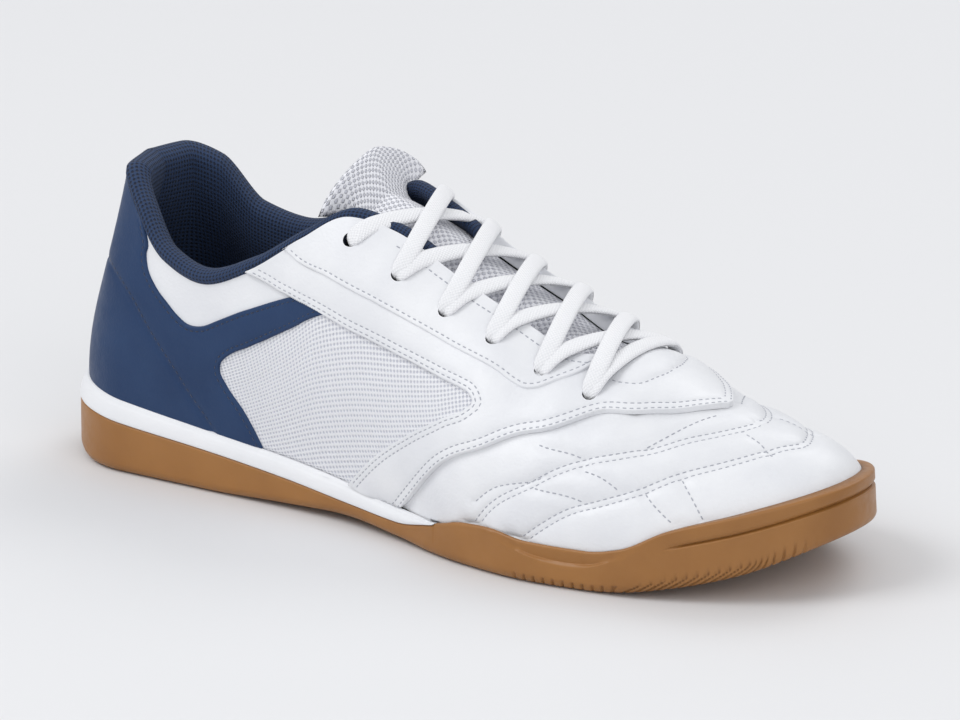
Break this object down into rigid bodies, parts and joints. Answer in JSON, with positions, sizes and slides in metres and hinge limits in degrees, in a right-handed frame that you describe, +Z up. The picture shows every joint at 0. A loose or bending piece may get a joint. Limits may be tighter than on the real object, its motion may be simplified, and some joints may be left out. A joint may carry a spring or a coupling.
{
  "type": "indoor soccer shoe",
  "caption": "Low-cut right shoe with a flat gum rubber sole, white leather upper, navy heel and padded collar, mesh tongue and crossed laces.",
  "frame": {"origin": "middle of the heel's flat tread, on the floor", "axes": "+X to the toe, +Y to the medial side, +Z up"},
  "size_m": [0.29, 0.1005, 0.1137],
  "materials": {
    "gum_rubber": "caramel gum rubber, satin",
    "white_foam": "white moulded foam, satin skin",
    "insole_fabric": "dark navy knitted cover",
    "white_leather": "white synthetic leather, fine grain, satin",
    "navy_leather": "navy synthetic leather, fine grain, satin",
    "navy_mesh": "navy padded air mesh",
    "white_mesh": "white open air mesh",
    "lace_cord": "white flat woven lace"
  },
  "bodies": {
    "root": {"outsole": "gum_rubber", "midsole": "white_foam", "insole": "insole_fabric", "upper": "white_leather", "heel_counter": "navy_leather", "quarter_strap": "white_leather", "eyestay_lateral": "white_leather", "eyestay_medial": "white_leather", "padded_collar": "navy_mesh", "tongue": "white_mesh", "laces": "lace_cord"}
  },
  "joints": []
}
